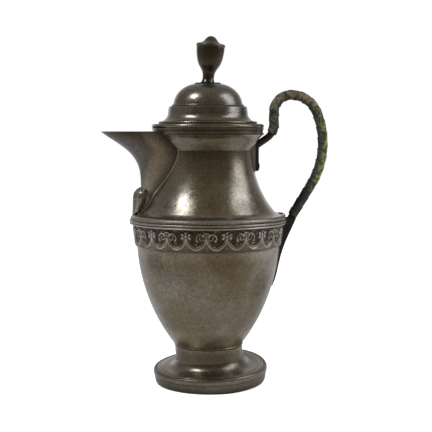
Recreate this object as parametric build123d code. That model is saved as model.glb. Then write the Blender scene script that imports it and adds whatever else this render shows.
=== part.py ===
"""Footed pewter chocolate pot with a beak spout, a bound iron handle and a lift-off domed lid.

Units are millimetres.  +Z is up, the origin is the centre of the foot's resting face, the spout
points along -X and the handle along +X.  Every turned piece is a section in the XZ plane that is
revolved about Z, and the heights are stacked from the foot upwards.
"""
from build123d import *
import os
from math import atan2, cos, radians, sin, sqrt, tan

# ---- foot ------------------------------------------------------------------------------------
foot_plate_radius = 45.0      # where the foot's top plate meets the edge moulding
plinth_height = 12.0
plinth_overhang = 3.2         # the widest line of the edge moulding outside the plate
plinth_waist_overhang = 2.3
plinth_rest_overhang = 0.6    # and the outer edge of the face that the pot stands on
plinth_rest_width = 3.0
foot_wall = 2.2
plate_width = 8.7             # from the edge moulding in to the hollow flare
flare_height = 8.8
stem_radius = 28.6
stem_height = 12.9
stem_band_depth = 0.6         # thin band round the top of the stem
stem_band_height = 1.2
plate_rise = 0.6              # the plate climbs this much to the flare
plinth_roll = 5.0             # height of the rounded upper edge
plinth_roll_crest = 2.0       # its widest line over its lower edge
plinth_swell = 0.3
foot_bead_overhang = 1.4      # centre of the fine bead round the foot, outside the plate
foot_bead_drop = 0.9          # and under the top of the plinth
foot_bead_section = 0.7       # its half thickness

# ---- bowl, frieze and shoulder ---------------------------------------------------------------
wall = 2.0                    # cast wall of the bowl, the upper body and the collar
bowl_lip = 0.3                # the bowl's lower edge stands this far outside the stem
bowl_height = 82.3
bowl_bulge = 6.5              # rise of the bowl's side over its chord
belt_radius = 59.6            # plain wall behind the frieze
belt_fillet_height = 2.6
belt_fillet_depth = 1.7
belt_fillet_edge = 0.8
belt_fillet_hollow = 0.26     # depth of its hollow
frieze_height = 17.0
frieze_depth_low = 2.4        # how far the frieze stands out from the belt, below and above
frieze_depth_high = 4.3
ledge_height = 4.0            # plain moulding over the frieze
ledge_depth = 6.4
beading_height = 3.6          # milled moulding on the edge of the shoulder
beading_depth = 2.2
beading_seat_inset = 3.2      # its inner face inside the ledge's outer face

# ---- upper body, neck and collar -------------------------------------------------------------
shoulder_turn_run = 4.1       # the sweep from the neck turns outwards this far inside the belt
shoulder_turn_height = 3.2    # and this far over the shoulder's edge
upper_body_height = 54.0
neck_radius = 37.1
cavetto_height = 12.6
cavetto_reach = 9.1
cavetto_edge_height = 6.4     # edge part way up, where the plain flare turns into the cavetto
cavetto_edge_reach = 4.2
cavetto_hollow = 0.5
collar_height = 5.4
collar_lip = 0.7              # how far the two thin edges of the collar stand out
collar_edge = 1.1
mouth_rim = 4.7               # width of the collar's rim round the mouth

# ---- spout -----------------------------------------------------------------------------------
spout_drop = 2.7              # the spout's rim lies this far under the mouth
spout_depth = 52.5            # from the rim down to the spout's lowest section
spout_throat_inset = 6.4      # the keel's closest approach to the axis, inside the shoulder's seat
spout_throat_drop = 40.5      # and how far that lies under the rim
beak_length = 32.8            # tip of the beak from the throat
spout_lip_slope = 40.0        # of the keel at the tip, in degrees
spout_rim_half_width = 27.5
spout_low_half_width = 12.5
spout_fullness = 3.0          # how soon the sections reach their full width, going up
spout_wall = 1.5
spout_stations = 5            # sections along the keel
spout_root = 20.0             # the sections start this far from the axis, inside the body
bud_seat_drop = 0.4           # the drop's point lies this far under the shoulder's edge
bud_sections = (              # its heights, radii and outer faces inside the shoulder's seat
    (0.0, 1.6, -0.9),
    (4.0, 5.3, -0.7),
    (9.4, 8.3, -0.5),
    (14.5, 9.7, -0.5),
    (18.7, 9.2, 0.3),
    (21.8, 6.4, 2.8),
    (23.4, 2.4, 5.4),
)

# ---- handle ----------------------------------------------------------------------------------
bar_diameter = 6.0            # iron core
binding_thickness = 1.6       # strip wound round the core
tongue_offset = 2.4           # inner face of the upper tongue from the neck
tongue_thickness = 3.0
tongue_width = 8.0
tongue_length = 25.0
tongue_rise = 3.2             # its top over the bar's root
tongue_end_swell = 0.8
root_height = 3.8             # the bar leaves the tongue this far over the neck's joint
root_slope = 34.0
limb_offset = 18.5            # the rising limb's centre line from the neck
handle_rise = 27.8            # top of the handle's centre line over the mouth
handle_crown_run = 30.3       # level run from the limb to the crown's second corner
handle_belly_reach = 39.3     # outer corner of the handle from the shoulder's edge
handle_belly_drop = 46.5      # that corner under the crown
handle_landing_offset = 4.4   # the bar's centre line outside the shoulder's edge
landing_overrun = 5.0         # the bar runs this far down into the tail
bend_radius = 14.0
loop_radius = 14.3
crown_radius = 23.0
belly_radius = 67.0
binding_start = 16.0          # bare bar from the tongue to the binding
binding_end = 2.0             # and from the binding to the landing
tail_cover = 0.5              # metal round the bar where the tail takes it in
tail_width = 8.0
tail_tip_width = 3.0
tail_sections = (             # drops under the ledge's top down to the tip, and thicknesses
    (11.0, 6.4),
    (19.7, 3.5),
    (36.5, 2.3),
    (49.3, 2.0),
    (58.0, 1.2),
)
pad_thickness = 0.9           # solder pads under the tongue and the tail
pad_margin = 1.0
prong_length = 5.0            # short prong over the shoulder's edge
prong_thickness = 0.5
prong_rise = 1.0              # its tip climbs the shoulder this far over the edge
prong_width = 6.0

# ---- lid -------------------------------------------------------------------------------------
lid_rim_overhang = 0.8        # outside the collar
lid_rim_height = 3.5
lid_rim_width = 13.0
lid_bead_inset = 5.5          # each step of the lid inside the one under it
lid_bead_height = 2.2
lid_flare_inset = 2.8
lid_flare_height = 7.2
drum_inset = 5.4
drum_height = 5.2
drum_edge = 0.8
drum_taper = 0.6
dome_inset = 4.3
dome_height = 19.0
dome_seat_radius = 7.4        # level seat on the crown
dome_band_depth = 1.3         # thin band round the foot of the dome
dome_band_height = 1.6
lid_wall = 1.6
bezel_height = 5.4
bezel_wall = 1.5
lid_clearance = 0.3           # between the bezel and the mouth

# ---- finial ----------------------------------------------------------------------------------
rod_hole_radius = 5.0         # hole in the crown for the stirring rod
plug_clearance = 0.3
plug_wall = 1.3
plug_length = 6.0
disc_radius = 11.0
disc_thickness = 0.5
finial_foot_radius = 6.6
finial_foot_hollow = 0.5
finial_foot_height = 1.5      # the foot's hollow lies this far over the disc
finial_waist_radius = 4.8
finial_waist_height = 5.2
finial_cup_radius = 11.7
finial_cup_height = 24.5
finial_knee_inset = 3.0       # the cup's side a third of the way up, inside its top
finial_knee_height = 9.3
finial_belly_inset = 0.5      # and near its rim
finial_belly_drop = 6.9
finial_rim_overhang = 0.5
finial_rim_height = 2.6
finial_cap_radius = 6.4
finial_cap_height = 6.4
finial_cap_shoulder = 1.8     # height of the cap's side over the rim
finial_cap_slope = 8.5        # of the cap where it leaves the rim, in degrees
finial_lean = 4.5             # the finial leans towards the handle, in degrees

# ---- heights, from the foot up ---------------------------------------------------------------
plinth_top = plinth_height
flare_top = plinth_top + flare_height
stem_top = flare_top + stem_height
belt_bottom = stem_top + bowl_height
frieze_bottom = belt_bottom + belt_fillet_height
frieze_top = frieze_bottom + frieze_height
ledge_top = frieze_top + ledge_height
shoulder_top = ledge_top + beading_height
neck_joint = shoulder_top + upper_body_height
collar_bottom = neck_joint + cavetto_height
mouth_top = collar_bottom + collar_height
lid_bead_bottom = mouth_top + lid_rim_height
lid_flare_bottom = lid_bead_bottom + lid_bead_height
drum_bottom = lid_flare_bottom + lid_flare_height
drum_top = drum_bottom + drum_height
dome_top = drum_top + dome_height
disc_top = dome_top + disc_thickness
spout_rim = mouth_top - spout_drop
spout_bottom = spout_rim - spout_depth

# ---- radii and reaches that follow from them -------------------------------------------------
plinth_radius = foot_plate_radius + plinth_overhang
plinth_waist_radius = foot_plate_radius + plinth_waist_overhang
plinth_rest_radius = foot_plate_radius + plinth_rest_overhang
foot_bead_radius = foot_plate_radius + foot_bead_overhang
flare_radius = foot_plate_radius - plate_width
bowl_bottom_radius = stem_radius + bowl_lip
ledge_radius = belt_radius + ledge_depth
beading_seat_radius = ledge_radius - beading_seat_inset
beading_radius = beading_seat_radius + beading_depth
collar_radius = neck_radius + cavetto_reach
mouth_radius = collar_radius - mouth_rim
spout_throat_reach = beading_seat_radius - spout_throat_inset
spout_reach = spout_throat_reach + beak_length
lid_rim_radius = collar_radius + lid_rim_overhang
lid_bead_radius = lid_rim_radius - lid_bead_inset
lid_flare_radius = lid_bead_radius - lid_flare_inset
drum_radius = lid_flare_radius - drum_inset
dome_radius = drum_radius - dome_inset
finial_rim_radius = finial_cup_radius + finial_rim_overhang
tail_length = max(drop for drop, thickness in tail_sections)

BIG = 500.0                   # larger than the pot, for the sides of cutting blocks
LONGEST_TRIM = 0.995          # share of a straight run that its two arcs may use up


# ---- helpers ---------------------------------------------------------------------------------
def outline(*edges):
    """Closed face in the XZ plane from edges drawn as (radius, height)."""
    return Plane.XZ * make_face(Curve() + list(edges))


def polygon(*points):
    """Closed face in the XZ plane from corner points."""
    return Plane.XZ * make_face(Polyline(*points, close=True))


def turn(*faces):
    """Solid of revolution about the pot's axis."""
    return revolve(Sketch() + list(faces), Axis.Z)


def ring(inner, outer, low, high):
    return turn(polygon((inner, low), (outer, low), (outer, high), (inner, high)))


def rounded_ring(inner, outer, low, high):
    """Ring with a half round outer face."""
    middle = (low + high) / 2
    nose = min((high - low) / 2, outer - inner)
    crest = ThreePointArc((outer - nose, high), (outer, middle), (outer - nose, low))
    back = Polyline((outer - nose, low), (inner, low), (inner, high), (outer - nose, high))
    return turn(outline(crest, back))


def block(x_low, x_high, width, z_low, z_high):
    """Box centred on the plane of the handle and spout."""
    size = Box(x_high - x_low, width, z_high - z_low)
    return Pos((x_low + x_high) / 2, 0, (z_low + z_high) / 2) * size


def slope(angle):
    """Unit vector in (x, height) that climbs at an angle in degrees."""
    return (cos(radians(angle)), sin(radians(angle)))


# ---- foot ------------------------------------------------------------------------------------
rest_inner = plinth_rest_radius - plinth_rest_width
plate_bottom = plinth_top - foot_wall
roll_bottom = plinth_top - plinth_roll

foot_bead = Pos(0, 0, plinth_top - foot_bead_drop) * Torus(foot_bead_radius, foot_bead_section)

plinth_edge = Polyline(
    (foot_plate_radius, plinth_top),
    (foot_plate_radius, plate_bottom),
    (rest_inner, plate_bottom),
    (rest_inner, 0),
    (plinth_rest_radius, 0),
)
plinth_face = ThreePointArc(
    (plinth_rest_radius, 0),
    ((plinth_rest_radius + plinth_waist_radius) / 2 + plinth_swell, roll_bottom / 2),
    (plinth_waist_radius, roll_bottom),
)
plinth_roll_face = ThreePointArc(
    (plinth_waist_radius, roll_bottom),
    (plinth_radius, roll_bottom + plinth_roll_crest),
    (foot_plate_radius, plinth_top),
)
foot_plinth = turn(outline(plinth_edge, plinth_face, plinth_roll_face)) - foot_bead


def flare_line():
    """Outer line of the foot: plate, concave flare and stem, from the edge inwards and up."""
    plate = Line((foot_plate_radius, plinth_top), (flare_radius, plinth_top + plate_rise))
    flare = TangentArc(
        (stem_radius, flare_top),
        (flare_radius, plinth_top + plate_rise),
        tangent=(0, -1),
    )
    return [plate, flare]


def flare_region(left, bottom, top):
    """Face from x = left out to the foot's outer line."""
    frame = Polyline(
        (foot_plate_radius, plinth_top),
        (foot_plate_radius, bottom),
        (left, bottom),
        (left, top),
        (stem_radius, top),
        (stem_radius, flare_top),
    )
    return outline(frame, *flare_line())


foot_hollow = turn(offset(flare_region(-foot_wall, -BIG, stem_top + foot_wall), -foot_wall))
stem_band = ring(
    stem_radius,
    stem_radius + stem_band_depth,
    stem_top - stem_band_height,
    stem_top,
)
foot_stem = turn(flare_region(0, plate_bottom, stem_top)) + stem_band - foot_hollow


# ---- vessel ----------------------------------------------------------------------------------
def bowl_side():
    return SagittaArc((bowl_bottom_radius, stem_top), (belt_radius, belt_bottom), -bowl_bulge)


def shoulder_sides(edge_radius):
    """Concave line from the neck down to the shoulder's edge at a given radius."""
    turn_point = (belt_radius - shoulder_turn_run, shoulder_top + shoulder_turn_height)
    sweep = TangentArc((neck_radius, neck_joint), turn_point, tangent=(0, -1))
    toe = TangentArc(turn_point, (edge_radius, shoulder_top), tangent=sweep % 1)
    return [sweep, toe]


def cavetto_sides():
    """Plain flare over the neck's joint, an edge, and the cavetto up to the collar."""
    edge = (neck_radius + cavetto_edge_reach, neck_joint + cavetto_edge_height)
    flare = Line((neck_radius, neck_joint), edge)
    return [flare, SagittaArc(edge, (collar_radius, collar_bottom), cavetto_hollow)]


# the cavity follows the outer line one wall inside it, and narrows to a straight bore at the mouth
lining = outline(
    Polyline((belt_radius, belt_bottom), (belt_radius, shoulder_top)),
    bowl_side(),
    *shoulder_sides(belt_radius),
    *cavetto_sides(),
    Polyline(
        (collar_radius, collar_bottom),
        (collar_radius, mouth_top + wall),
        (-wall, mouth_top + wall),
        (-wall, stem_top),
        (bowl_bottom_radius, stem_top),
    ),
)
over_mouth = polygon((mouth_radius, neck_joint), (BIG, neck_joint), (BIG, BIG), (mouth_radius, BIG))
cavity = turn(offset(lining, -wall) - over_mouth)

bowl_solid = turn(
    outline(
        bowl_side(),
        Polyline(
            (belt_radius, belt_bottom),
            (belt_radius, ledge_top),
            (0, ledge_top),
            (0, stem_top),
            (bowl_bottom_radius, stem_top),
        ),
    )
)
upper_solid = turn(
    outline(
        *shoulder_sides(beading_seat_radius),
        Polyline(
            (beading_seat_radius, shoulder_top),
            (beading_seat_radius, ledge_top),
            (0, ledge_top),
            (0, neck_joint),
            (neck_radius, neck_joint),
        ),
    )
)
collar_solid = turn(
    outline(
        *cavetto_sides(),
        Polyline(
            (collar_radius, collar_bottom),
            (collar_radius + collar_lip, collar_bottom),
            (collar_radius + collar_lip, collar_bottom + collar_edge),
            (collar_radius, collar_bottom + collar_edge),
            (collar_radius, mouth_top - collar_edge),
            (collar_radius + collar_lip, mouth_top - collar_edge),
            (collar_radius + collar_lip, mouth_top),
            (0, mouth_top),
            (0, neck_joint),
            (neck_radius, neck_joint),
        ),
    )
)

fillet_outer = belt_radius + belt_fillet_depth
belt_fillet = turn(
    outline(
        SagittaArc(
            (belt_radius, belt_bottom),
            (fillet_outer, frieze_bottom - belt_fillet_edge),
            belt_fillet_hollow,
        ),
        Polyline(
            (fillet_outer, frieze_bottom - belt_fillet_edge),
            (fillet_outer, frieze_bottom),
            (belt_radius, frieze_bottom),
            (belt_radius, belt_bottom),
        ),
    )
)
frieze_band = turn(
    polygon(
        (belt_radius, frieze_bottom),
        (belt_radius + frieze_depth_low, frieze_bottom),
        (belt_radius + frieze_depth_high, frieze_top),
        (belt_radius, frieze_top),
    )
)
shoulder_ledge = rounded_ring(belt_radius, ledge_radius, frieze_top, ledge_top)
shoulder_beading = rounded_ring(beading_seat_radius, beading_radius, ledge_top, shoulder_top)
vessel = [
    bowl_solid,
    upper_solid,
    collar_solid,
    belt_fillet,
    frieze_band,
    shoulder_ledge,
    shoulder_beading,
]


# ---- spout -----------------------------------------------------------------------------------
throat_height = spout_rim - spout_throat_drop
keel_upper = Spline(
    (-spout_reach, spout_rim),
    (-spout_throat_reach, throat_height),
    tangents=(slope(-spout_lip_slope), (0, -1)),
)
bud_bottom = shoulder_top - bud_seat_drop
bud_top = bud_bottom + max(section[0] for section in bud_sections)


def spout_half_width(height):
    rise = (height - spout_bottom) / spout_depth
    gain = 1 - (1 - min(rise, 1.0)) ** spout_fullness
    return spout_low_half_width + (spout_rim_half_width - spout_low_half_width) * gain


def spout_section(reach, half_width, height):
    """Level half ellipse from inside the body to the keel."""
    arc = EllipticalCenterArc((-spout_root, 0), reach - spout_root, half_width, 90, arc_size=180)
    chord = Line(arc @ 1, arc @ 0)
    return Pos(0, 0, height) * make_face(Curve() + [arc, chord])


def spout_body(inset, lowest):
    """Lofted beak, drawn in by an inset that is measured square to the keel."""
    sections = [spout_section(spout_throat_reach - inset, spout_half_width(lowest) - inset, lowest)]
    for step in range(spout_stations, -1, -1):
        share = step / spout_stations
        point = keel_upper @ share
        along = keel_upper % share
        reach = -(point.X - inset * along.Y)
        height = point.Y + inset * along.X
        sections.append(spout_section(reach, spout_half_width(height) - inset, height))
    if inset:
        sections.append(Pos(0, 0, spout_drop) * sections[-1])
    return loft(sections)


spout_outer = spout_body(0, spout_bottom)
spout_channel = spout_body(spout_wall, bud_top + spout_wall)
under_collar = block(-BIG, BIG, BIG, 0, collar_bottom)
pouring_window = spout_channel & under_collar


def bud_section(height, radius, inset):
    """Level round section of the drop under the spout."""
    centre = radius + inset - beading_seat_radius
    return Pos(centre, 0, bud_bottom + height) * Circle(radius)


bud_solid = loft([bud_section(*section) for section in bud_sections])
spout = spout_outer - spout_channel - bud_solid
spout_bud = bud_solid
for piece in vessel:
    spout = spout - piece
    spout_bud = spout_bud - piece

bowl = bowl_solid - cavity
upper_body = upper_solid - cavity - pouring_window
neck_collar = collar_solid - cavity - pouring_window


# ---- handle ----------------------------------------------------------------------------------
def direction(start, end):
    run = (end[0] - start[0], end[1] - start[1])
    length = sqrt(run[0] ** 2 + run[1] ** 2)
    return (run[0] / length, run[1] / length), length


def along(start, unit, distance):
    return (start[0] + unit[0] * distance, start[1] + unit[1] * distance)


def rounded_path(points, radii):
    """Straight runs joined by tangent arcs, in (x, height); an arc too big for its runs is reduced."""
    units = []
    lengths = []
    for start, end in zip(points, points[1:]):
        unit, length = direction(start, end)
        units.append(unit)
        lengths.append(length)
    trims = []
    for index, radius in enumerate(radii):
        before, after = units[index], units[index + 1]
        cross = before[0] * after[1] - before[1] * after[0]
        dot = before[0] * after[0] + before[1] * after[1]
        trims.append(radius * tan(abs(atan2(cross, dot)) / 2))
    ends = [0.0] + trims + [0.0]
    used = max((a + b) / length for a, b, length in zip(ends, ends[1:], lengths))
    share = min(1.0, LONGEST_TRIM / used)
    edges = []
    here = points[0]
    for index, trim in enumerate(trims):
        corner = points[index + 1]
        leave = along(corner, units[index], -trim * share)
        join = along(corner, units[index + 1], trim * share)
        edges.append(Line(here, leave))
        edges.append(TangentArc(leave, join, tangent=units[index]))
        here = join
    edges.append(Line(here, points[-1]))
    return Plane.XZ * Wire(edges)


def bar_along(path, radius):
    """Round bar swept along a path in the XZ plane."""
    start = Plane(origin=path @ 0, z_dir=path % 0)
    return sweep(start * Circle(radius), path=path)


bar_radius = bar_diameter / 2
grip_radius = bar_radius + binding_thickness
tongue_inner = neck_radius + tongue_offset
tongue_outer = tongue_inner + tongue_thickness
limb_x = neck_radius + limb_offset
crown_top = mouth_top + handle_rise
root = (tongue_inner + tongue_thickness / 2, neck_joint + root_height)
limb_foot = (limb_x, root[1] + (limb_x - root[0]) * tan(radians(root_slope)))
crown_left = (limb_x, crown_top)
crown_right = (limb_x + handle_crown_run, crown_top)
belly = (ledge_radius + handle_belly_reach, crown_top - handle_belly_drop)
landing = (ledge_radius + handle_landing_offset, ledge_top)
bends = (bend_radius, loop_radius, crown_radius, belly_radius)

landing_unit = direction(belly, landing)[0]
bar_end = along(landing, landing_unit, landing_overrun)
handle_route = (root, limb_foot, crown_left, crown_right, belly, bar_end)
handle_path = rounded_path(handle_route, bends)
bar = bar_along(handle_path, bar_radius)
bare_end = landing_overrun + binding_end
binding_path = handle_path.trim(
    binding_start / handle_path.length,
    1 - bare_end / handle_path.length,
)

# the tail leaves the bar at the landing and follows the frieze and the bowl down to a point
tail_tip = ledge_top - tail_length
landing_lean = -landing_unit[1]


def body_radius(height):
    """Outer radius of the bowl or the frieze, which the tail lies on."""
    if height >= frieze_bottom:
        share = (height - frieze_bottom) / frieze_height
        return belt_radius + frieze_depth_low + (frieze_depth_high - frieze_depth_low) * share
    if height >= belt_bottom:
        return belt_radius
    side = bowl_side()
    return side.arc_center.X + sqrt(side.radius**2 - (height - side.arc_center.Y) ** 2)


tail_points = [(landing[0] + (bar_radius + tail_cover) / landing_lean, ledge_top)]
for drop, thickness in tail_sections:
    height = ledge_top - drop
    tail_points.append((body_radius(height) + thickness, height))
tail_curve = Spline(*tail_points)
tail_face = outline(
    tail_curve,
    Polyline(tail_curve @ 1, (0, tail_tip), (0, ledge_top), tail_curve @ 0),
)
tail_plan = Plane.YZ * make_face(
    Polyline(
        (-tail_width / 2, ledge_top),
        (-tail_width / 2, frieze_bottom),
        (-tail_tip_width / 2, tail_tip),
        (tail_tip_width / 2, tail_tip),
        (tail_width / 2, frieze_bottom),
        (tail_width / 2, ledge_top),
        close=True,
    )
)
tail = extrude(tail_face, tail_width, both=True) & extrude(tail_plan, BIG)

tongue_top = root[1] + tongue_rise
tongue_bottom = tongue_top - tongue_length
tongue_face = polygon(
    (tongue_inner, tongue_top),
    (tongue_outer, tongue_top),
    (tongue_outer, tongue_bottom + tongue_width),
    (tongue_outer + tongue_end_swell, tongue_bottom + tongue_width / 2),
    (tongue_outer, tongue_bottom),
    (tongue_inner, tongue_bottom),
)
tongue_slot = Rot(0, 0, 90) * SlotOverall(tongue_length, tongue_width)
tongue_plan = Plane.YZ * Pos(0, (tongue_top + tongue_bottom) / 2) * tongue_slot
tongue = extrude(tongue_face, tongue_width, both=True) & extrude(tongue_plan, BIG)

prong_inner = beading_radius - prong_length
prong_corner = beading_height / 4
prong_face = polygon(
    (prong_inner, ledge_top),
    (prong_inner, shoulder_top + prong_rise),
    (beading_radius - prong_corner, shoulder_top + prong_thickness),
    (beading_radius + prong_thickness, shoulder_top - prong_corner),
    (beading_radius + prong_thickness, ledge_top + prong_thickness),
    along(landing, landing_unit, -prong_thickness),
    landing,
)
prong = extrude(prong_face, prong_width / 2, both=True)

neck_pad = block(0, tongue_inner, tongue_width + 2 * pad_margin, tongue_bottom - pad_margin, tongue_top)


def on_pad(height):
    return (body_radius(height) + pad_thickness, height)


pad_low = tail_tip + pad_margin
pad_high = belt_bottom - pad_margin
pad_line = ThreePointArc(on_pad(pad_low), on_pad((pad_low + pad_high) / 2), on_pad(pad_high))
pad_face = outline(pad_line, Polyline(pad_line @ 1, (0, pad_high), (0, pad_low), pad_line @ 0))
tail_pad = extrude(pad_face, tail_width, both=True) & extrude(tail_plan, BIG)

handle_core = bar + tongue + tail + prong
for piece in vessel:
    neck_pad = neck_pad - piece
    tail_pad = tail_pad - piece
    handle_core = handle_core - piece
handle_core = handle_core - neck_pad - tail_pad
handle_binding = bar_along(binding_path, grip_radius) - handle_core


# ---- lid -------------------------------------------------------------------------------------
lid_rim = rounded_ring(lid_rim_radius - lid_rim_width, lid_rim_radius, mouth_top, lid_bead_bottom)
lid_bead = rounded_ring(lid_flare_radius - lid_wall, lid_bead_radius, lid_bead_bottom, lid_flare_bottom)
bezel_outer = mouth_radius - lid_clearance
lid_bezel = ring(bezel_outer - bezel_wall, bezel_outer, mouth_top - bezel_height, mouth_top)


def lid_region(inset, bottom):
    """Face from the axis out to the dome, its drum and its flare, drawn in by an inset."""
    flare = TangentArc(
        (drum_radius - inset, drum_bottom),
        (lid_flare_radius - inset, lid_flare_bottom),
        tangent=(0, -1),
    )
    dome = EllipticalCenterArc(
        (dome_seat_radius, drum_top - inset),
        dome_radius - dome_seat_radius - inset,
        dome_height,
        0,
        arc_size=90,
    )
    edge = Polyline(
        (drum_radius - inset, drum_bottom),
        (drum_radius - drum_taper - inset, drum_top - drum_edge - inset),
        (drum_radius - drum_taper - drum_edge - inset, drum_top - inset),
        (dome_radius - inset, drum_top - inset),
    )
    frame = Polyline(
        (lid_flare_radius - inset, lid_flare_bottom),
        (lid_flare_radius - inset, bottom),
        (0, bottom),
        (0, dome_top - inset),
        (dome_seat_radius, dome_top - inset),
    )
    return outline(flare, edge, dome, frame)


under_rim = polygon((0, 0), (BIG, 0), (BIG, lid_flare_bottom), (0, lid_flare_bottom))
rod_hole = polygon((0, 0), (rod_hole_radius, 0), (rod_hole_radius, BIG), (0, BIG))
dome_section = lid_region(0, mouth_top) - lid_region(lid_wall, mouth_top)
dome_shell = turn(dome_section - under_rim - rod_hole)
dome_band = rounded_ring(
    dome_radius - lid_wall / 2,
    dome_radius + dome_band_depth,
    drum_top,
    drum_top + dome_band_height,
)
lid_dome = dome_shell + dome_band


# ---- finial ----------------------------------------------------------------------------------
plug_outer = rod_hole_radius - plug_clearance
finial_disc = Pos(0, 0, dome_top + disc_thickness / 2) * Cylinder(disc_radius, disc_thickness)
finial_plug = ring(plug_outer - plug_wall, plug_outer, dome_top - plug_length, dome_top)

waist_z = disc_top + finial_waist_height
rim_low = disc_top + finial_cup_height + finial_waist_height
rim_high = rim_low + finial_rim_height
cup_line = Spline(
    (finial_waist_radius, waist_z),
    (finial_cup_radius - finial_knee_inset, waist_z + finial_knee_height),
    (finial_cup_radius - finial_belly_inset, rim_low - finial_belly_drop),
    (finial_cup_radius, rim_low),
    tangents=((0, 1), (0, 1)),
)
foot_line = ThreePointArc(
    (finial_foot_radius, disc_top - disc_thickness),
    (finial_waist_radius + finial_foot_hollow, disc_top + finial_foot_height),
    (finial_waist_radius, waist_z),
)
cup_upright = turn(
    outline(
        foot_line,
        cup_line,
        Polyline(cup_line @ 1, (0, rim_low), (0, disc_top - disc_thickness), foot_line @ 0),
    )
)
cap_line = Spline(
    (finial_rim_radius - finial_rim_height / 2, rim_high),
    (finial_cap_radius, rim_high + finial_cap_shoulder),
    (0, rim_high + finial_cap_height),
    tangents=(slope(180 - finial_cap_slope), (-1, 0)),
)
rim_side = ThreePointArc(
    (finial_cup_radius, rim_low),
    (finial_rim_radius, (rim_low + rim_high) / 2),
    (finial_rim_radius - finial_rim_height / 2, rim_high),
)
cap_upright = turn(
    outline(rim_side, cap_line, Polyline(cap_line @ 1, (0, rim_low), (finial_cup_radius, rim_low)))
)
lean = Pos(0, 0, disc_top) * Rot(0, finial_lean, 0) * Pos(0, 0, -disc_top)
over_disc = block(-BIG, BIG, BIG, disc_top, BIG)
finial_cup = (lean * cup_upright) & over_disc
finial_cap = lean * cap_upright


# ---- written pieces --------------------------------------------------------------------------
pieces = {
    "foot_plinth": foot_plinth,
    "foot_bead_ring": foot_bead,
    "foot_stem": foot_stem,
    "bowl": bowl,
    "bowl_top_fillet": belt_fillet,
    "frieze_band": frieze_band,
    "shoulder_ledge": shoulder_ledge,
    "shoulder_beading": shoulder_beading,
    "upper_body": upper_body,
    "neck_collar": neck_collar,
    "spout": spout,
    "spout_bud": spout_bud,
    "handle_neck_pad": neck_pad,
    "handle_bowl_pad": tail_pad,
    "handle_core": handle_core,
    "handle_binding": handle_binding,
    "lid_rim": lid_rim,
    "lid_bead_ring": lid_bead,
    "lid_dome": lid_dome,
    "lid_bezel": lid_bezel,
    "finial_disc": finial_disc,
    "finial_plug": finial_plug,
    "finial_cup": finial_cup,
    "finial_cap": finial_cap,
}
os.makedirs("parts", exist_ok=True)
for name, piece in pieces.items():
    export_step(piece, "parts/" + name + ".step")
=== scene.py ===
"""Looks of the pewter chocolate pot: relief, milling, binding, patina, studio and camera."""
from math import atan, cos, pi, radians, sin, tan

import bpy
import numpy as np
from mathutils import Matrix, Vector
from mathutils.bvhtree import BVHTree


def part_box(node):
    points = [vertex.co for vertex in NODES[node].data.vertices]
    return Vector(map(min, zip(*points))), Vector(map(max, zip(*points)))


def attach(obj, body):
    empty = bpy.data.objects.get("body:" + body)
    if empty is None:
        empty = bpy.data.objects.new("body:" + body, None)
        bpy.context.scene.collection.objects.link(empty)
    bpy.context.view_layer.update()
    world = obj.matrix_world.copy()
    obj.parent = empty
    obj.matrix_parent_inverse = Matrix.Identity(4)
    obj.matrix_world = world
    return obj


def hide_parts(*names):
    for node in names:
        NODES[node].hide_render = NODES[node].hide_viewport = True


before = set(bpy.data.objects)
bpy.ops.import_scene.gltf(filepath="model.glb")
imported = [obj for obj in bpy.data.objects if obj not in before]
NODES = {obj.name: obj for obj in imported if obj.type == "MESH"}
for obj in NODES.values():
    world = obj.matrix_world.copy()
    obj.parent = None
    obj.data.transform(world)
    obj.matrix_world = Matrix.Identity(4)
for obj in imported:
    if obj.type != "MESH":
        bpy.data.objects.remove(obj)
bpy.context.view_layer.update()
MM = 0.001


# ---- mesh helpers ----------------------------------------------------------------------------
def new_piece(name, vertices, faces, material, slot, body, *nodes):
    """Mesh piece that rides on a body and stands for CAD nodes."""
    mesh = bpy.data.meshes.new(name)
    mesh.from_pydata(vertices, [], faces)
    mesh.validate()
    mesh.update()
    mesh.polygons.foreach_set("use_smooth", [True] * len(mesh.polygons))
    piece = bpy.data.objects.new(name, mesh)
    bpy.context.scene.collection.objects.link(piece)
    piece.data.materials.append(material)
    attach(piece, body)
    if nodes:
        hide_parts(*nodes)
    return piece


def grid_faces(rows, columns, wrap_rows=False, wrap_columns=False):
    """Quads over a grid of vertices that is stored row by row."""
    faces = []
    for row in range(rows if wrap_rows else rows - 1):
        below = (row + 1) % rows
        for column in range(columns if wrap_columns else columns - 1):
            right = (column + 1) % columns
            faces.append(
                (
                    row * columns + column,
                    row * columns + right,
                    below * columns + right,
                    below * columns + column,
                )
            )
    return faces


def in_metres(x, y, z):
    """List of points in metres from grids of coordinates in millimetres."""
    return (np.stack([x, y, z], axis=-1) * MM).reshape(-1, 3).tolist()


def full_turn(count):
    """Evenly spaced angles round a whole circle."""
    return np.arange(count) / count * 2 * pi


def around(radii, heights, angle):
    """Grids of x, y and z: radii turned about the pot's axis, with one height for each row."""
    x = radii * np.cos(angle)
    y = radii * np.sin(angle)
    return x, y, np.broadcast_to(heights[:, None], x.shape)


def store(piece, name, values):
    """Per-vertex number that a material reads by name."""
    attribute = piece.data.attributes.new(name, "FLOAT", "POINT")
    attribute.data.foreach_set("value", np.asarray(values, dtype=np.float32).ravel())


# ---- material helpers ------------------------------------------------------------------------
MIX_FACTOR, MIX_FIRST, MIX_SECOND, MIX_RESULT = 0, 6, 7, 2     # the Mix node's colour sockets


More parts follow.
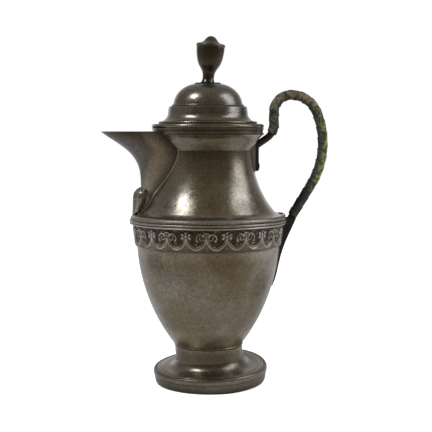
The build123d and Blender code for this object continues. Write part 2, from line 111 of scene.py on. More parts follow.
class Tree:
    """Short calls for building a node tree."""

    def __init__(self, owner):
        owner.use_nodes = True
        self.nodes = owner.node_tree.nodes
        self.links = owner.node_tree.links
        self.nodes.clear()

    def node(self, kind, inputs=None, **settings):
        made = self.nodes.new(kind)
        for key, value in settings.items():
            setattr(made, key, value)
        for key, value in (inputs or {}).items():
            self.feed(made.inputs[key], value)
        return made

    def feed(self, socket, value):
        """Link or value into a socket; a colour may leave out its alpha."""
        if isinstance(value, bpy.types.NodeSocket):
            self.links.new(value, socket)
            return
        default = socket.default_value
        if hasattr(default, "__len__") and len(value) == 3 and len(default) == 4:
            value = (*value, 1.0)
        socket.default_value = value

    def math(self, operation, first, second=0.0, third=0.0, clamp=False):
        made = self.node("ShaderNodeMath", operation=operation, use_clamp=clamp)
        for index, value in enumerate((first, second, third)):
            self.feed(made.inputs[index], value)
        return made.outputs[0]

    def blend(self, share, first, second, mode="MIX"):
        made = self.node("ShaderNodeMix", data_type="RGBA", blend_type=mode)
        self.feed(made.inputs[MIX_FACTOR], share)
        self.feed(made.inputs[MIX_FIRST], first)
        self.feed(made.inputs[MIX_SECOND], second)
        return made.outputs[MIX_RESULT]

    def grey(self, level):
        return self.node("ShaderNodeCombineColor", {0: level, 1: level, 2: level}).outputs[0]

    def shade(self, colour, level):
        """Colour times a grey level."""
        return self.blend(1.0, colour, self.grey(level), "MULTIPLY")

    def window(self, value, low, high, to_low=0.0, to_high=1.0):
        """Smooth step from to_low to to_high as the value goes from low to high."""
        made = self.node("ShaderNodeMapRange", interpolation_type="SMOOTHSTEP")
        keys = ("Value", "From Min", "From Max", "To Min", "To Max")
        for key, number in zip(keys, (value, low, high, to_low, to_high)):
            self.feed(made.inputs[key], number)
        return made.outputs[0]

    def noise(self, vector, scale, detail=4.0, roughness=0.55, distortion=0.0):
        keys = ("Vector", "Scale", "Detail", "Roughness", "Distortion")
        values = (vector, scale, detail, roughness, distortion)
        return self.node("ShaderNodeTexNoise", dict(zip(keys, values))).outputs[0]

    def attribute(self, name):
        """Number that store() left on the piece."""
        return self.node("ShaderNodeAttribute", attribute_name=name).outputs["Fac"]

    def bump(self, height, distance, below=None):
        inputs = {"Height": height, "Distance": distance, "Strength": 1.0}
        if below is not None:
            inputs["Normal"] = below
        return self.node("ShaderNodeBump", inputs).outputs[0]

    def surface(self, inputs):
        """Principled shader as the whole surface."""
        shader = self.node("ShaderNodeBsdfPrincipled", inputs)
        self.node("ShaderNodeOutputMaterial", {"Surface": shader.outputs[0]})


def place(tree):
    """Place in the shared frame, its height and its distance from the pot's axis."""
    here = tree.node("ShaderNodeTexCoord").outputs["Object"]
    x, y, height = tree.node("ShaderNodeSeparateXYZ", {0: here}).outputs
    flat = tree.node("ShaderNodeCombineXYZ", {0: x, 1: y}).outputs[0]
    radius = tree.node("ShaderNodeVectorMath", {0: flat}, operation="LENGTH").outputs["Value"]
    return here, height, radius


# ---- pewter ----------------------------------------------------------------------------------
PEWTER_GREY = (0.238, 0.207, 0.164)
PEWTER_BROWN = (0.158, 0.126, 0.080)
PEWTER_DARK = (0.040, 0.031, 0.022)
PEWTER_WORN = (0.40, 0.36, 0.31)
PEWTER_RUBBED = (0.66, 0.61, 0.54)    # on the tops of the ornament
METALLIC = 0.92
WAX_ROUGHNESS = 0.22

BLOTCH = (21.0, 5.0, 0.62, 0.5)       # each noise: scale, detail, roughness and distortion
MOTTLE = (120.0, 6.0, 0.66, 0.3)
GRAIN = (640.0, 4.0, 0.7)
SPECK = (310.0, 2.0, 0.5)
FINE_GRIT = (1000.0, 3.0, 0.75)
COARSE_GRIT = (360.0, 4.0, 0.7, 0.4)
LATHE_MARKS = (900.0, 2.0, 0.6)

BLOTCH_DEPTH = 0.30           # depths of the marks, in millimetres
MOTTLE_DEPTH = 0.055
LATHE_DEPTH = 0.010
GRAIN_DEPTH = 0.030
SPECK_DEPTH = 0.06

SWEEP_CENTRE = (116.4, 197.2)         # of the arc that the upper body's side follows
SWEEP_RADIUS = 79.3
FLARE_SLOPE = 0.66                    # of the neck over it
# painted shade in the crease beside the solder line
SEAM_PAINTED_SHADE = (0.5, 9.0, 0.42)          # from and to this far off the body, in mm, and its level
# painted shade on the outer half of the beak
BEAK_SHADE = (11.0, 17.0, 0.45)       # the same for the darker outer half of the beak


def seam_shade(tree, height, radius):
    """Painted shade beside the solder line where the spout meets the body, and on the beak's outer
    half.
    """
    drop = tree.math("SUBTRACT", SWEEP_CENTRE[1] * MM, height)
    inside = tree.math("SUBTRACT", (SWEEP_RADIUS * MM) ** 2, tree.math("MULTIPLY", drop, drop))
    arc = tree.math("SQRT", tree.math("MAXIMUM", inside, 0.0))
    body = tree.math("SUBTRACT", SWEEP_CENTRE[0] * MM, arc)
    waist = (SWEEP_CENTRE[0] - SWEEP_RADIUS) * MM
    neck = tree.math("MULTIPLY_ADD", drop, -FLARE_SLOPE, waist)
    gap = tree.math("SUBTRACT", radius, tree.math("MAXIMUM", body, neck))
    near, far, level = SEAM_PAINTED_SHADE
    beside_seam = tree.window(gap, near * MM, far * MM, level, 1.0)
    near, far, level = BEAK_SHADE
    return tree.math("MULTIPLY", beside_seam, tree.window(gap, near * MM, far * MM, 1.0, level))


def pewter(
    name, brown, roughness, dark=0.0, worn=0.0, pits=1.0, lathe=1.0, grit=1.0,
    rubbed=0.0, ground=0.0, stains=(), bands=(), rings=(), seam=False, wax=0.0,
):
    """Patinated pewter.

    brown, dark and worn shift the patina; pits, grit and lathe scale the marks. On ornament,
    rubbed is how light its tops are and ground how dark its hollows. Stains are (x, y, z, reach,
    level), bands, painted light and shade by height, are (height where it is full, height where
    it has faded, level) and rings, painted shadow and highlight lines along an edge, are (height,
    half width, level), in millimetres. wax is the share of a thin clear coat, and seam adds the
    painted shade that seam_shade gives.
    """
    material = bpy.data.materials.new(name)
    tree = Tree(material)
    here, height, radius = place(tree)

    blotch = tree.noise(here, *BLOTCH)
    mottle = tree.noise(here, *MOTTLE)
    grain = tree.noise(here, *GRAIN)
    speck = tree.noise(here, *SPECK)
    fine = tree.noise(here, *FINE_GRIT)
    coarse = tree.noise(here, *COARSE_GRIT)

    lean = 0.2 * (brown - 0.5)
    share = tree.window(blotch, 0.36 + lean, 0.64 + lean)
    colour = tree.blend(share, PEWTER_BROWN, PEWTER_GREY)
    colour = tree.blend(tree.window(mottle, 0.30, 0.72, 0.30, 0.0), colour, PEWTER_BROWN)
    colour = tree.blend(tree.window(speck, 0.66, 0.76, 0.0, 0.55), colour, PEWTER_DARK)
    colour = tree.blend(tree.window(grain, 0.56, 0.74, 0.0, 0.30), colour, PEWTER_WORN)
    for noise, darker, lighter in ((fine, 0.22, 0.18), (coarse, 0.13, 0.11)):
        level = tree.window(noise, 0.36, 0.64, 1 - darker * grit, 1 + lighter * grit)
        colour = tree.shade(colour, level)
    for x, y, z, reach, level in stains:
        spot = {0: here, 1: (x * MM, y * MM, z * MM)}
        away = tree.node("ShaderNodeVectorMath", spot, operation="DISTANCE").outputs["Value"]
        away = tree.math("MULTIPLY_ADD", tree.math("SUBTRACT", coarse, 0.5), reach * MM, away)
        level = tree.window(away, 0.35 * reach * MM, 1.15 * reach * MM, level, 1.0)
        colour = tree.shade(colour, level)
    # painted shade by the spout's root and on the beak
    if seam:
        colour = tree.shade(colour, seam_shade(tree, height, radius))
    # bands: painted light and shade by height
    for full, faded, level in bands:
        colour = tree.shade(colour, tree.window(height, full * MM, faded * MM, level, 1.0))
    # rings: painted shadow and highlight lines along an edge
    for middle, half_width, level in rings:
        away = tree.math("ABSOLUTE", tree.math("SUBTRACT", height, middle * MM))
        level = tree.window(away, 0.5 * half_width * MM, 1.5 * half_width * MM, level, 1.0)
        colour = tree.shade(colour, level)
    if worn:
        colour = tree.blend(worn, colour, PEWTER_RUBBED)
    if dark:
        colour = tree.blend(dark, colour, PEWTER_DARK)
    if rubbed:
        relief = tree.attribute("relief")
        colour = tree.blend(tree.window(relief, 0.22, 0.60, ground, 0.0), colour, PEWTER_DARK)
        colour = tree.blend(tree.window(relief, 0.56, 0.86, 0.0, rubbed), colour, PEWTER_RUBBED)

    rough = tree.math("MULTIPLY_ADD", mottle, 0.30, roughness - 0.13)
    rough = tree.math("MULTIPLY_ADD", tree.window(speck, 0.62, 0.76), 0.22, rough, clamp=True)

    # turning marks run round the axis, so they depend on height and radius alone
    turning = tree.node("ShaderNodeCombineXYZ", {0: radius, 1: height}).outputs[0]
    marks = tree.noise(turning, *LATHE_MARKS)
    hollows = tree.window(speck, 0.60, 0.78, 1.0, 0.0)
    normal = tree.bump(blotch, BLOTCH_DEPTH * MM)
    normal = tree.bump(mottle, MOTTLE_DEPTH * MM * pits, normal)
    normal = tree.bump(marks, LATHE_DEPTH * MM * lathe, normal)
    normal = tree.bump(grain, GRAIN_DEPTH * MM * pits, normal)
    normal = tree.bump(hollows, SPECK_DEPTH * MM * pits, normal)
    tree.surface(
        {
            "Base Color": colour, "Metallic": METALLIC, "Roughness": rough, "Normal": normal,
            "Coat Weight": wax, "Coat Roughness": WAX_ROUGHNESS,
        }
    )
    return material


# ---- iron and binding ------------------------------------------------------------------------
IRON_BLACK = (0.010, 0.009, 0.008)
IRON_GREY = (0.035, 0.030, 0.024)
IRON_RUST = (0.05, 0.034, 0.018)
IRON_METALLIC = 0.5
HAMMER_SCALE = 260.0
HAMMER_DEPTH = 0.25           # in millimetres, as the other depths
SCALE_DEPTH = 0.08

STRIP_START = ((0.016, 0.022, 0.012), (0.110, 0.105, 0.028))     # hollows and tops of the patches
STRIP_BROWN = ((0.026, 0.020, 0.008), (0.170, 0.122, 0.054))
STRIP_OLIVE = ((0.020, 0.018, 0.006), (0.240, 0.225, 0.030))
# grey-green painted shade on the inner side, which faces the pot
STRIP_INNER_SHADE = ((0.022, 0.026, 0.014), (0.085, 0.092, 0.048))
STRIP_LOW_END = ((0.016, 0.013, 0.008), (0.040, 0.034, 0.014))
STRIP_FLECK = (0.022, 0.020, 0.010)
STRIP_FIBRE = (0.020, 0.018, 0.010)
STRIP_JOINT = (0.008, 0.007, 0.005)
PATCH_DEPTH = 0.35
FIBRE_DEPTH = 0.10


def wrought_iron(name):
    """Blackened bar with hammer marks."""
    material = bpy.data.materials.new(name)
    tree = Tree(material)
    here = place(tree)[0]
    cells = {"Vector": here, "Scale": HAMMER_SCALE}
    hammer = tree.node("ShaderNodeTexVoronoi", cells, feature="SMOOTH_F1").outputs[0]
    scale = tree.noise(here, 500.0, 5.0, 0.7)
    rust = tree.window(tree.noise(here, 90.0), 0.55, 0.75, 0.0, 0.5)
    colour = tree.blend(tree.window(scale, 0.35, 0.7), IRON_BLACK, IRON_GREY)
    colour = tree.blend(rust, colour, IRON_RUST)
    rough = tree.window(scale, 0.3, 0.75, 0.38, 0.62)
    normal = tree.bump(hammer, HAMMER_DEPTH * MM)
    normal = tree.bump(scale, SCALE_DEPTH * MM, normal)
    tree.surface(
        {"Base Color": colour, "Metallic": IRON_METALLIC, "Roughness": rough, "Normal": normal}
    )
    return material


def bound_strip(name):
    """Worn strip: brown on the crown, olive down the grip, dark at its edges and low end, with
    painted shade on its inner side.
    """
    material = bpy.data.materials.new(name)
    tree = Tree(material)
    here = place(tree)[0]
    phase = tree.attribute("phase")
    run = tree.attribute("run")
    outer = tree.attribute("outer")
    patch = tree.noise(here, 125.0, 5.0, 0.66, 1.2)
    fleck = tree.noise(here, 300.0, 3.0, 0.6, 0.5)
    fibre = tree.noise(here, 900.0, 4.0, 0.65)

    olive = tree.blend(tree.window(patch, 0.42, 0.56), *STRIP_OLIVE)
    # painted shade: grey-green on the inner side, olive on the outer
    inner_shade = tree.blend(tree.window(patch, 0.40, 0.62), *STRIP_INNER_SHADE)
    olive = tree.blend(tree.window(outer, 0.34, 0.62), inner_shade, olive)
    brown = tree.blend(tree.window(patch, 0.42, 0.60), *STRIP_BROWN)
    start = tree.blend(tree.window(patch, 0.42, 0.58), *STRIP_START)
    low_end = tree.blend(tree.window(patch, 0.45, 0.62), *STRIP_LOW_END)
    colour = tree.blend(tree.window(run, 0.10, 0.18), start, brown)
    colour = tree.blend(tree.window(run, 0.34, 0.46), colour, olive)
    colour = tree.blend(tree.window(run, 0.79, 0.88), colour, low_end)
    colour = tree.blend(tree.window(fleck, 0.54, 0.66, 0.0, 0.55), colour, STRIP_FLECK)
    colour = tree.blend(tree.window(fibre, 0.42, 0.66, 0.0, 0.40), colour, STRIP_FIBRE)
    joint = tree.math("MAXIMUM", tree.window(phase, 0.10, 0.02), tree.window(phase, 0.90, 0.99))
    colour = tree.blend(tree.math("MULTIPLY", joint, 0.6), colour, STRIP_JOINT)
    # painted shade: darker on the inner side, towards the pot
    colour = tree.shade(colour, tree.window(outer, 0.05, 0.45, 0.35, 1.0))
    rough = tree.window(fibre, 0.3, 0.7, 0.50, 0.75)
    normal = tree.bump(patch, PATCH_DEPTH * MM)
    normal = tree.bump(fibre, FIBRE_DEPTH * MM, normal)
    tree.surface({"Base Color": colour, "Roughness": rough, "Normal": normal})
    return material


# ---- relief of the frieze --------------------------------------------------------------------
FRIEZE_UNITS = 12             # each unit holds two swags
UNIT_COLUMNS = 128
FRIEZE_ROWS = 68
FRIEZE_TURN = radians(-90 - 5.2)      # where the first unit starts, read from the photo
FRIEZE_TAPER = 1.9            # from the radius of its top to that of its lower edge
RELIEF_DEPTH = 1.5            # from the ground to the highest ornament
BELT_BACK = 59.6              # radius of the backs of the band and of the fillets over it
frieze_low, frieze_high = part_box("frieze_band")
FRIEZE_BOTTOM = frieze_low[2] / MM
FRIEZE_HEIGHT = (frieze_high[2] - frieze_low[2]) / MM
FRIEZE_RADIUS = frieze_high[0] / MM
UNIT_WIDTH = 2 * pi * FRIEZE_RADIUS / FRIEZE_UNITS

SWAG_ENDS = 9.9               # height of the swags' ends over the band's lower edge
OUTER_DROP = 9.0              # from there to the bottom of a swag's outer line
INNER_DROP = 7.4              # and of its inner one,
INNER_LIFT = 0.3              # which ends a little higher
FIELD_LEVEL = 0.42            # height of the ground under the swags, as a share of RELIEF_DEPTH,
GARLAND_LEVEL = 0.50          # between a swag's two lines,
BORDER_LEVEL = 0.62           # along the lower edge
CROWN_LEVEL = 0.25            # and along the upper one
BORDER_WIDTH = 1.1            # of the raised lines along those two edges
CROWN_WIDTH = 0.9

LEVEL_STEP = 24               # columns between two random levels of the worn relief
LEVEL_LOWEST = 0.72           # lowest of these levels
LOSS_EASED = 0.3              # share of the loss that is given back


def arc_points(centre, radius_u, radius_v, start, end, count=24):
    """Points along part of an ellipse, from one angle in degrees to another."""
    turn = np.radians(np.linspace(start, end, count))
    return np.stack(
        [centre[0] + radius_u * np.cos(turn), centre[1] + radius_v * np.sin(turn)], axis=-1
    )


def distance_to(points, u, v):
    """Distance from each place of the grid to a line through points."""
    nearest = np.full(u.shape, 1e9)
    for (u0, v0), (u1, v1) in zip(points[:-1], points[1:]):
        du, dv = u1 - u0, v1 - v0
        length = max(du * du + dv * dv, 1e-9)
        share = np.clip(((u - u0) * du + (v - v0) * dv) / length, 0, 1)
        nearest = np.minimum(nearest, np.hypot(u - u0 - share * du, v - v0 - share * dv))
    return nearest


def stroke(points, half_width, height, u, v):
    """Round-topped line of ornament."""
    gap = distance_to(np.asarray(points, dtype=float), u, v) / half_width
    return height * np.sqrt(np.clip(1 - gap**2, 0, 1))


def smooth_rows(values, passes):
    """Blur over neighbouring rows and, round the ring, columns."""
    for _ in range(passes):
        values = (
            values * 4
            + np.roll(values, 1, 1)
            + np.roll(values, -1, 1)
            + np.vstack([values[:1], values[:-1]])
            + np.vstack([values[1:], values[-1:]])
        ) / 8
    return values


def cast_ground():
    """Uneven texture that the casting left between the ornament."""
    grain = np.random.default_rng(5).uniform(-1, 1, (FRIEZE_ROWS, UNIT_COLUMNS))
    grain = smooth_rows(grain, 8)
    return np.clip(0.20 + grain / grain.std() * 0.22, 0.0, 0.6)


def frieze_relief(u, v):
    """Height of the ornament, 0 to 1, over one unit: rosette at u = 0, fleuron at its ends."""
    u = np.abs(u)
    half = UNIT_WIDTH / 2
    middle = half / 2
    outer = np.hypot((u - middle) / (middle + 0.1), (v - SWAG_ENDS) / OUTER_DROP)
    inner = np.hypot((u - middle) / (middle - 1.35), (v - SWAG_ENDS - INNER_LIFT) / INNER_DROP)
    low = v < SWAG_ENDS
    height = np.where(low & (outer > 1), FIELD_LEVEL, 0.0)
    height = np.where(low & (outer <= 1) & (inner > 1), GARLAND_LEVEL, height)
    lines = [      # points, half width and height
        # the swag's two lines
        (arc_points((middle, SWAG_ENDS), middle - 0.25, 8.75, 180, 360), 0.72, 0.92),
        (arc_points((middle, SWAG_ENDS + INNER_LIFT), middle - 1.45, 7.3, 185, 355), 0.52, 0.80),
        # rosette and the drops under it
        ([(0, 11.7), (0, 11.9)], 1.51, 1.0),
        ([(0, 14.1), (0, 15.0)], 1.09, 0.85),
        ([(2.5, 12.9), (3.3, 13.4)], 1.23, 0.92),
        ([(2.6, 10.8), (3.4, 10.1)], 1.30, 0.95),
        ([(0, 10.2), (0, 8.2)], 1.00, 0.70),
        ([(0.0, 5.9), (0.0, 4.2)], 0.79, 0.68),
        ([(0.5, 3.2), (1.3, 1.9)], 0.86, 0.72),
        # fleuron and the drops under it
        ([(half, 9.4), (half, 13.4)], 0.79, 0.80),
        (arc_points((half, 11.8), 3.1, 2.9, 90, 185), 0.70, 0.88),
        ([(half - 1.2, 13.2), (half - 1.5, 12.2)], 0.65, 0.70),
        ([(half - 0.7, 3.6), (half - 1.5, 2.0)], 0.86, 0.72),
        ([(half, 6.4), (half, 4.4)], 0.72, 0.66),
        # scrolls over the swag, with their leaves
        (arc_points((half - 4.7, 10.4), 3.5, 3.0, 20, 205), 0.72, 0.90),
        ([(half - 7.6, 8.6), (half - 7.4, 8.0)], 1.23, 0.92),
        (arc_points((half - 3.9, 10.2), 1.6, 1.7, 175, 350), 0.65, 0.84),
        ([(half - 5.4, 10.7), (half - 5.3, 10.9)], 1.00, 0.84),
        ([(half - 8.6, 5.5), (half - 7.3, 5.2)], 0.72, 0.62),
    ]
    parts = [stroke(points, half_width, top, u, v) for points, half_width, top in lines]
    border = np.clip((BORDER_WIDTH - v) / 0.35, 0, 1) * BORDER_LEVEL
    crown = np.clip((v - FRIEZE_HEIGHT + CROWN_WIDTH) / 0.4, 0, 1) * CROWN_LEVEL
    return np.maximum.reduce([height, cast_ground(), border, crown] + parts)


def make_frieze(material):
    """Cast band with swags, rosettes and scrolls."""
    u = (np.arange(UNIT_COLUMNS) / UNIT_COLUMNS - 0.5) * UNIT_WIDTH
    v = np.linspace(0, FRIEZE_HEIGHT, FRIEZE_ROWS)
    unit = frieze_relief(*np.meshgrid(u, v))
    relief = smooth_rows(np.tile(unit, (1, FRIEZE_UNITS)), 3)
    columns = UNIT_COLUMNS * FRIEZE_UNITS
    steps = columns // LEVEL_STEP
    levels = np.random.default_rng(7).uniform(LEVEL_LOWEST, 1.0, steps)
    wear = np.interp(
        np.arange(columns), np.arange(0, columns + 1, LEVEL_STEP), np.resize(levels, steps + 1)
    )
    relief = relief * (wear + (1 - wear) * LOSS_EASED)
    low_radius = FRIEZE_RADIUS - FRIEZE_TAPER
    ground = np.linspace(low_radius, FRIEZE_RADIUS, FRIEZE_ROWS) - RELIEF_DEPTH
    back = np.full((1, columns), BELT_BACK)
    radii = np.vstack([back, ground[:, None] + relief * RELIEF_DEPTH, back])
    relief = np.vstack([relief[:1], relief, relief[-1:]])
    heights = FRIEZE_BOTTOM + np.concatenate([[0], v, [FRIEZE_HEIGHT]])
    points = in_metres(*around(radii, heights, full_turn(columns) + FRIEZE_TURN))
    faces = grid_faces(len(heights), columns, wrap_rows=True, wrap_columns=True)
    piece = new_piece("frieze_relief", points, faces, material, "pewter", "pot", "frieze_band")
    store(piece, "relief", relief)


# ---- milled and beaded rings -----------------------------------------------------------------
MILLED_RIDGES = 260
RIDGE_COLUMNS = 6
RIDGE_DEPTH = 0.30
MILLED_BACK = 62.8            # radius of the ring's back
FOOT_BEADS = 280
BEAD_COLUMNS = 5
BEAD_SIDES = 12
BEAD_WAIST = 0.70             # thickness between two beads, as a share of a bead's


def make_milled_ring(material):
    """Toe of the shoulder with a finely milled edge under it, in the box of its CAD node."""
    low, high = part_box("shoulder_beading")
    outer, bottom, top = high[0] / MM, low[2] / MM, high[2] / MM
    back = MILLED_BACK - outer
    profile = [      # distance from the outer radius, height and how deeply it is milled
        (back, bottom, 0), (-0.6, bottom, 0), (-0.2, bottom + 0.25, 1), (0, bottom + 0.5, 1),
        (0, bottom + 1.6, 1), (-0.2, bottom + 1.8, 0.5), (-0.5, bottom + 1.85, 0),
        (-0.4, bottom + 2.1, 0), (-0.7, bottom + 2.5, 0), (-1.4, top - 0.45, 0), (-2.1, top, 0),
        (back, top, 0),
    ]
    offset, heights, milled = np.array(profile).T
    milled = milled[:, None]
    angle = full_turn(MILLED_RIDGES * RIDGE_COLUMNS)
    ridge = (0.5 - 0.5 * np.cos(angle * MILLED_RIDGES))[None, :]
    radii = outer + offset[:, None] - RIDGE_DEPTH * milled * (1 - ridge)
    points = in_metres(*around(radii, heights, angle))
    faces = grid_faces(len(heights), len(angle), wrap_rows=True, wrap_columns=True)
    piece = new_piece(
        "shoulder_milling", points, faces, material, "pewter", "pot", "shoulder_beading"
    )
    store(piece, "relief", 0.60 + milled * (0.40 * ridge - 0.26))


def make_foot_beads(material):
    """Fine rope of beads in the groove of the foot."""
    low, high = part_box("foot_bead_ring")
    section = (high[2] - low[2]) / 2 / MM
    centre_radius = high[0] / MM - section
    centre_height = (high[2] + low[2]) / 2 / MM
    angle = full_turn(FOOT_BEADS * BEAD_COLUMNS)
    swing = full_turn(BEAD_SIDES)[:, None]
    bead = np.abs(np.sin(angle * FOOT_BEADS / 2))
    swell = (section * (BEAD_WAIST + (1 - BEAD_WAIST) * bead))[None, :]
    radii = centre_radius + np.cos(swing) * swell
    heights = centre_height + np.sin(swing) * swell
    points = in_metres(*bend_foot(radii * np.cos(angle), radii * np.sin(angle), heights))
    faces = grid_faces(BEAD_SIDES, len(angle), wrap_rows=True, wrap_columns=True)
    new_piece("foot_beads", points, faces, material, "pewter", "pot", "foot_bead_ring")


# ---- drop under the spout --------------------------------------------------------------------
BUD_LOBES = 5
BUD_TURN = radians(-3)
BUD_ROWS = 60
BUD_COLUMNS = 160
BUD_SWELL = ([0, 0.17, 0.40, 0.62, 0.80, 0.93, 1.0], [0.16, 0.55, 0.86, 1.0, 0.95, 0.66, 0.25])
BUD_SETBACK = ([0, 0.10, 0.40, 0.62, 0.80, 0.93, 1.0], [0.0, 0.2, 0.4, 0.5, 1.3, 3.8, 6.3])
LOBE_DEPTH = 0.20
LOBE_ROUNDNESS = 0.7


def make_bud(material):
    """Gadrooned drop: lobes swell from the point and close over the top."""
    low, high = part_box("spout_bud")
    bottom, top = low[2] / MM, high[2] / MM
    reach = -low[0] / MM
    radius = (high[1] - low[1]) / 2 / MM
    share = np.linspace(0, 1, BUD_ROWS)
    profile = np.interp(share, *BUD_SWELL)
    profile = smooth_rows(np.tile(profile[:, None], (1, 3)), 6)[:, 1]
    setback = np.interp(share, *BUD_SETBACK)
    angle = full_turn(BUD_COLUMNS)
    lobe = np.abs(np.sin((angle - BUD_TURN) * BUD_LOBES / 2)) ** LOBE_ROUNDNESS
    depth = LOBE_DEPTH * np.sin(np.clip(share * 1.05, 0, 1) * pi) ** 0.5
    ring = profile[:, None] * radius * (1 - depth[:, None] * (1 - lobe[None, :]))
    centre = -(reach - setback - profile * radius)
    x, y, z = around(ring, bottom + (top - bottom) * share, angle)
    points = in_metres(centre[:, None] + x, y, z)
    faces = grid_faces(BUD_ROWS, BUD_COLUMNS, wrap_columns=True)
    faces.append(tuple(range(BUD_COLUMNS - 1, -1, -1)))
    faces.append(tuple((BUD_ROWS - 1) * BUD_COLUMNS + column for column in range(BUD_COLUMNS)))
    new_piece("spout_drop", points, faces, material, "pewter", "pot", "spout_bud")


# ---- wound strip of the grip -----------------------------------------------------------------
STRIP_PITCH = 9.5
STRIP_STEP = 0.85             # by which a turn stands over the one before it
STRIP_LAP = 0.10              # share of a turn in which it steps up
STRIP_LIE = 0.45              # share of the step that it loses again before the next
KNOT_SWELL = 0.245            # where the turns cross on the inner side
END_ROUND = 1.5               # length over which the strip's ends thin out
GRIP_SIDES = 40
LINE_STEP = 0.28              # between two points of the middle line
# corners of the bar's middle line (x, z), as in the CAD model, and the radii of its bends
ROOT = (41.0, 201.0)
ROOT_SLOPE = 34.0
LIMB_X = 55.6
CROWN_TOP = 243.0
CROWN_RUN = 30.3
BELLY = (105.3, 196.5)
LANDING = (70.4, 139.6)
GRIP_BENDS = (14.0, 14.3, 23.0, 67.0)
ROOT_BARE = 16.0              # lengths at the bar's ends that aren't bound
LANDING_BARE = 2.0


def rounded_line(points, radii, spacing):
    """Points along straight runs joined by tangent arcs, about one spacing apart."""
    points = [Vector(point) for point in points]
    line = [points[0]]
    units = [(b - a).normalized() for a, b in zip(points, points[1:])]
    angles = [before.angle(after) for before, after in zip(units, units[1:])]
    trims = [radius * tan(angle / 2) for radius, angle in zip(radii, angles)]
    ends = [0.0] + trims + [0.0]
    runs = [(b - a).length for a, b in zip(points, points[1:])]
    used = max((ends[i] + ends[i + 1]) / run for i, run in enumerate(runs))
    share = min(1.0, 0.995 / used)      # keeps two arcs from meeting on a short run
    for index, trim in enumerate(trims):
        unit, angle = units[index], angles[index]
        radius = radii[index] * share
        leave = points[index + 1] - unit * trim * share
        side = 1 if unit.cross(units[index + 1]) > 0 else -1
        across = Vector((-unit.y, unit.x)) * side
        centre = leave + across * radius
        line += straight(line[-1], leave, spacing)
        steps = max(2, int(radius * angle / spacing))
        for step in range(1, steps + 1):
            swing = Matrix.Rotation(side * angle * step / steps, 2)
            line.append(centre - swing @ (across * radius))
    return line + straight(line[-1], points[-1], spacing)


def straight(start, end, spacing):
    """Points after the start of a straight run, up to its end."""
    steps = max(1, int((end - start).length / spacing))
    return [start.lerp(end, step / steps) for step in range(1, steps + 1)]


def bound_line():
    """Middle line of the bound part of the bar, and how far along it each point lies."""
    limb_foot = ROOT[1] + (LIMB_X - ROOT[0]) * tan(radians(ROOT_SLOPE))
    crown_end = (LIMB_X + CROWN_RUN, CROWN_TOP)
    corners = [ROOT, (LIMB_X, limb_foot), (LIMB_X, CROWN_TOP), crown_end, BELLY, LANDING]
    line = np.array([tuple(point) for point in rounded_line(corners, GRIP_BENDS, LINE_STEP)])
    run = np.concatenate([[0], np.cumsum(np.hypot(*np.diff(line, axis=0).T))])
    bound = (run >= ROOT_BARE) & (run <= run[-1] - LANDING_BARE)
    return line[bound], run[bound] - ROOT_BARE


def make_grip(material):
    """Strip wound round the bar: each turn steps over the one before it."""
    line, run = bound_line()
    along = np.gradient(line, axis=0)
    along /= np.hypot(along[:, 0], along[:, 1])[:, None]
    outward = np.stack([-along[:, 1], along[:, 0]], axis=-1)
    low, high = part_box("handle_binding")
    outer = (high[1] - low[1]) / 2 / MM
    angle = full_turn(GRIP_SIDES)
    phase = (run[:, None] / STRIP_PITCH - angle[None, :] / (2 * pi)) % 1.0
    lie = np.clip((phase - STRIP_LAP) / (1 - STRIP_LAP), 0, 1)
    rise = np.clip(phase / STRIP_LAP, 0, 1) * (1 - STRIP_LIE * lie)
    inner_side = np.clip(-np.cos(angle), 0, 1)[None, :] ** 2
    knot = np.exp(-(((phase - 0.12) / 0.09) ** 2)) * inner_side * KNOT_SWELL
    ends = np.clip(np.minimum(run, run[-1] - run) / END_ROUND, 0, 1)[:, None]
    radius = outer - STRIP_STEP * (1 - rise) - 0.25 + knot
    radius = (outer - 0.9) + (radius - (outer - 0.9)) * np.sqrt(ends)
    radius = np.minimum(radius, outer)
    x = line[:, 0:1] + outward[:, 0:1] * np.cos(angle) * radius
    z = line[:, 1:2] + outward[:, 1:2] * np.cos(angle) * radius
    points = in_metres(x, np.sin(angle) * radius, z)
    faces = grid_faces(len(line), GRIP_SIDES, wrap_columns=True)
    piece = new_piece(
        "grip_strip", points, faces, material, "grip_binding", "pot", "handle_binding"
    )
    store(piece, "phase", phase)
    store(piece, "run", np.broadcast_to((run / run[-1])[:, None], phase.shape))
    store(piece, "outer", np.broadcast_to(0.5 + 0.5 * np.cos(angle)[None, :], phase.shape))


# ---- turned mouldings ------------------------------------------------------------------------
TURNED_COLUMNS = 288


def make_turned(name, profile, material, slot, body, node, warp=None):
    """Closed (radius, height, relief) profile turned about the axis, in millimetres."""
    radii, heights, relief = np.array(profile, dtype=float).T
    x, y, z = around(radii[:, None], heights, full_turn(TURNED_COLUMNS))
    if warp:
        x, y, z = warp(x, y, z)
    faces = grid_faces(len(radii), TURNED_COLUMNS, wrap_rows=True, wrap_columns=True)
    piece = new_piece(name, in_metres(x, y, z), faces, material, slot, body, node)
    store(piece, "relief", np.broadcast_to(relief[:, None], x.shape))


def make_shoulder_edge(material):
    """Two thin fillets with a groove between them, under the milled edge of the shoulder."""
    low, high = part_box("shoulder_ledge")
    outer, bottom, top = high[0] / MM, low[2] / MM, high[2] / MM
    profile = [
        (BELT_BACK, bottom, 0.5),
        (outer - 2.2, bottom, 0.1),
        (outer - 0.9, bottom + 0.05, 0.6),
        (outer - 0.25, bottom + 0.35, 0.9),
        (outer - 0.15, bottom + 0.8, 0.9),
        (outer - 0.5, bottom + 1.2, 0.4),
        (outer - 0.9, bottom + 1.5, 0.0),
        (outer - 0.8, bottom + 1.75, 0.0),
        (outer - 0.25, bottom + 2.05, 0.5),
        (outer, bottom + 2.5, 0.6),
        (outer, bottom + 3.0, 0.6),
        (outer - 0.3, bottom + 3.5, 0.6),
        (outer - 0.9, top - 0.15, 0.3),
        (outer - 1.3, top, 0.0),
        (BELT_BACK, top, 0.0),
    ]
    make_turned("shoulder_fillets", profile, material, "pewter", "pot", "shoulder_ledge")


